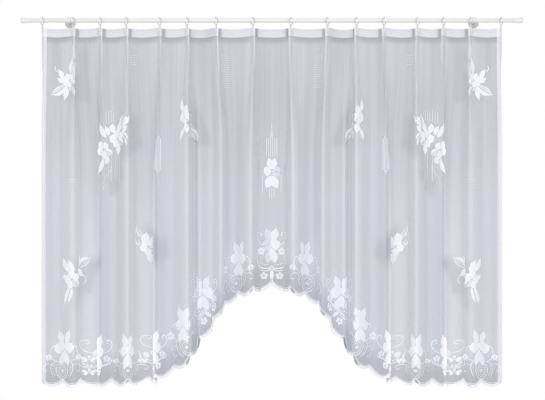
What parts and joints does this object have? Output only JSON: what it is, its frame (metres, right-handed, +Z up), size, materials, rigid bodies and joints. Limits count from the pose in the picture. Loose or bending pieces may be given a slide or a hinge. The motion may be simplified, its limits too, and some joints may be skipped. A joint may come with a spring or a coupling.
{
  "type": "jacquard net curtain on a curtain rod",
  "caption": "Sheer net curtain with an arched, scalloped hem and a woven flower border, hung in pinched pleats by clips and rings on a wall-mounted rod.",
  "frame": {"origin": "on the wall plane, midway between the two wall plates and level with the rod's axis", "axes": "+Z up, +X along the rod to the viewer's right, -Y from the wall into the room"},
  "size_m": [2.1102, 0.1237, 1.5577],
  "materials": {
    "net": "matte",
    "tape": "matte",
    "rod": "satin",
    "caps": "satin",
    "brackets": "satin",
    "screws": "satin",
    "rings": "gloss",
    "clips": "gloss"
  },
  "bodies": {
    "root": {"curtain": "net", "heading_tape": "tape", "rod": "rod", "end_cap_left": "caps", "wall_plate_left": "brackets", "bracket_arm_left": "brackets", "set_screw_left": "screws", "end_cap_right": "caps", "wall_plate_right": "brackets", "bracket_arm_right": "brackets", "set_screw_right": "screws", "ring_01": "rings", "ring_02": "rings", "ring_03": "rings", "ring_04": "rings", "ring_05": "rings", "ring_06": "rings", "ring_07": "rings", "ring_08": "rings", "ring_09": "rings", "ring_10": "rings", "ring_11": "rings", "ring_12": "rings", "ring_13": "rings", "ring_14": "rings", "ring_15": "rings", "ring_16": "rings", "clip_01": "clips", "clip_02": "clips", "clip_03": "clips", "clip_04": "clips", "clip_05": "clips", "clip_06": "clips", "clip_07": "clips", "clip_08": "clips", "clip_09": "clips", "clip_10": "clips", "clip_11": "clips", "clip_12": "clips", "clip_13": "clips", "clip_14": "clips", "clip_15": "clips", "clip_16": "clips"}
  },
  "joints": []
}
